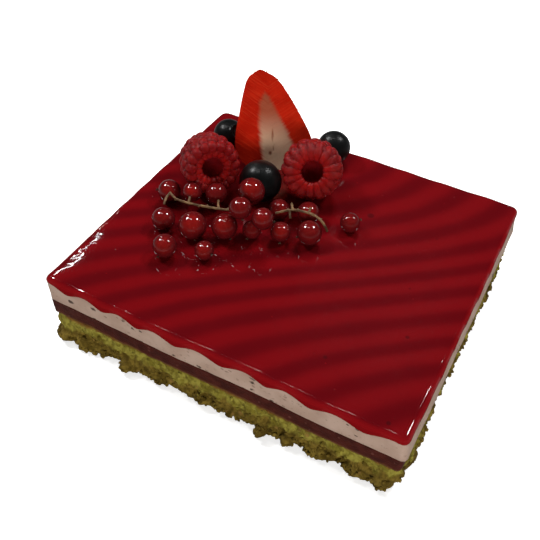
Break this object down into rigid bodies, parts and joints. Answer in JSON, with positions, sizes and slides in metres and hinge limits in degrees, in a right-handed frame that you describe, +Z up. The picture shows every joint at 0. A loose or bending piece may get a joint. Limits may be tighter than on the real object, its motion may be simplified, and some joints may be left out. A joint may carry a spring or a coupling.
{
  "type": "strawberry pistachio entremet",
  "caption": "Square-cut layered mousse cake: craggy pistachio sponge, dark fruit jelly, rippled strawberry mousse under a flat red glaze, topped with half a strawberry and mixed berries.",
  "frame": {"origin": "Centre of the bounding box in plan, at the height of the flat underside of the sponge.", "axes": "+Z is up. The long cut front, which shows every layer, faces -Y; +X runs along it from left to right."},
  "size_m": [0.1398, 0.126, 0.07],
  "materials": {
    "pistachio_sponge": "matte open crumb of a green pistachio sponge",
    "fruit_jelly": "dark set fruit jelly, softly shiny where it is cut",
    "strawberry_mousse": "matte greyish pink mousse with dark seed specks",
    "red_glaze": "deep red mirror glaze with a high gloss",
    "strawberry_flesh": "moist cut strawberry, orange-red flesh round a pale core",
    "raspberry_red": "fresh raspberry, crimson drupelets with a soft shine",
    "blueberry_skin": "blue-black skin with a thin waxy bloom",
    "currant_skin": "thin shiny skin over a clear dark red pulp",
    "currant_stem": "matte brown-green stalk"
  },
  "bodies": {
    "root": {"pistachio_sponge": "pistachio_sponge", "fruit_jelly_layer": "fruit_jelly", "strawberry_mousse": "strawberry_mousse", "red_glaze": "red_glaze", "strawberry_half": "strawberry_flesh", "raspberry_left": "raspberry_red", "raspberry_right": "raspberry_red", "blueberry_front": "blueberry_skin", "blueberry_back_left": "blueberry_skin", "blueberry_back_right": "blueberry_skin", "currant_01": "currant_skin", "currant_02": "currant_skin", "currant_03": "currant_skin", "currant_04": "currant_skin", "currant_05": "currant_skin", "currant_06": "currant_skin", "currant_07": "currant_skin", "currant_08": "currant_skin", "currant_09": "currant_skin", "currant_10": "currant_skin", "currant_11": "currant_skin", "currant_12": "currant_skin", "currant_13": "currant_skin", "currant_14": "currant_skin", "currant_15": "currant_skin", "currant_16": "currant_skin", "currant_17": "currant_skin", "currant_stem_left": "currant_stem", "currant_stem_right": "currant_stem"}
  },
  "joints": []
}
